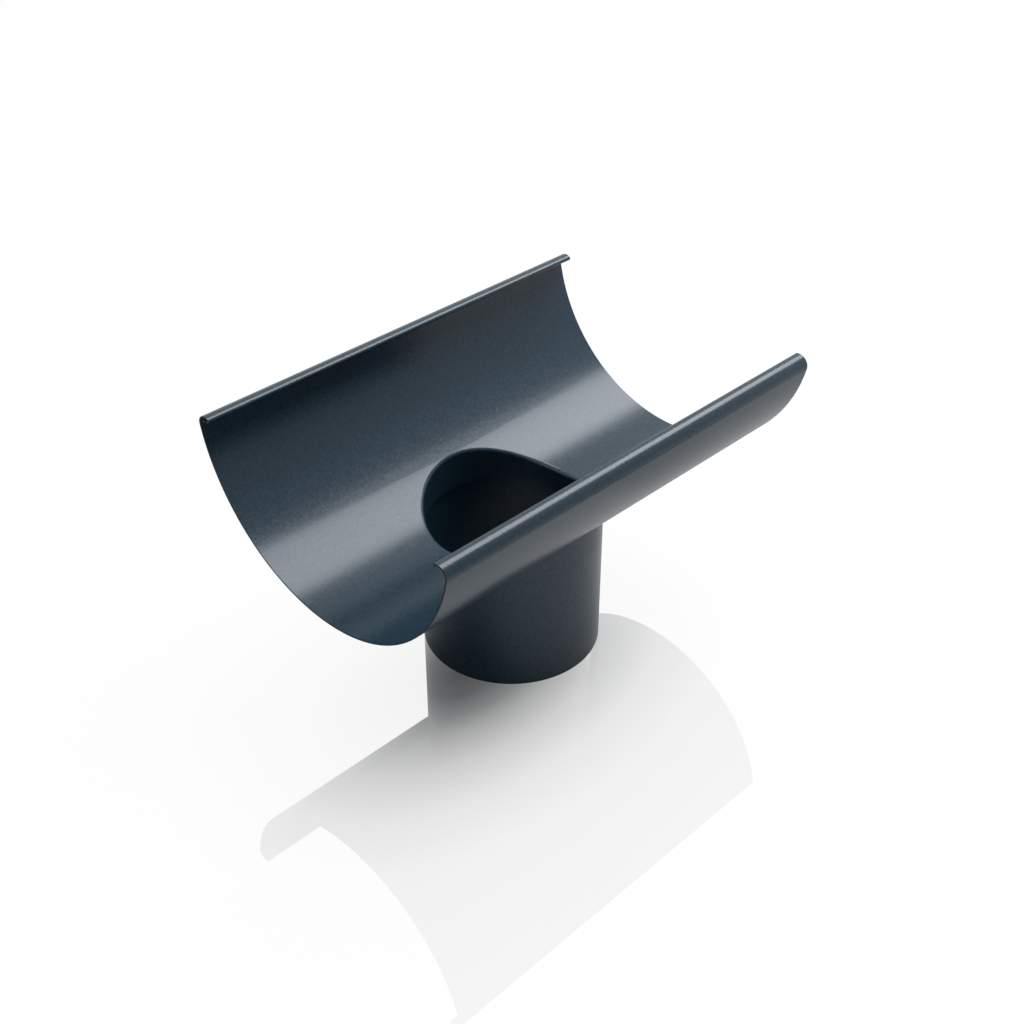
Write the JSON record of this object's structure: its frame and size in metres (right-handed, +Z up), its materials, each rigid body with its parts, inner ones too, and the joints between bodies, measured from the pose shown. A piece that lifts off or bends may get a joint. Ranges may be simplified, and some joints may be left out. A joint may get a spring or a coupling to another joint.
{
  "type": "gutter outlet",
  "caption": "Half-round gutter outlet: an open trough of rolled sheet with curled lips, and a round outlet in its floor leading into a straight spigot for a downpipe.",
  "frame": {"origin": "centre of the spigot's lower rim, on the spigot's axis", "axes": "+Z up along the spigot's axis, +X along the trough, +Y towards the trough's back bead with the folded hem"},
  "size_m": [0.219, 0.1519, 0.1349],
  "materials": {
    "coated_steel": "satin, finely grained powder coating"
  },
  "bodies": {
    "root": {"gutter_saddle": "coated_steel", "outlet_spigot": "coated_steel"}
  },
  "joints": []
}
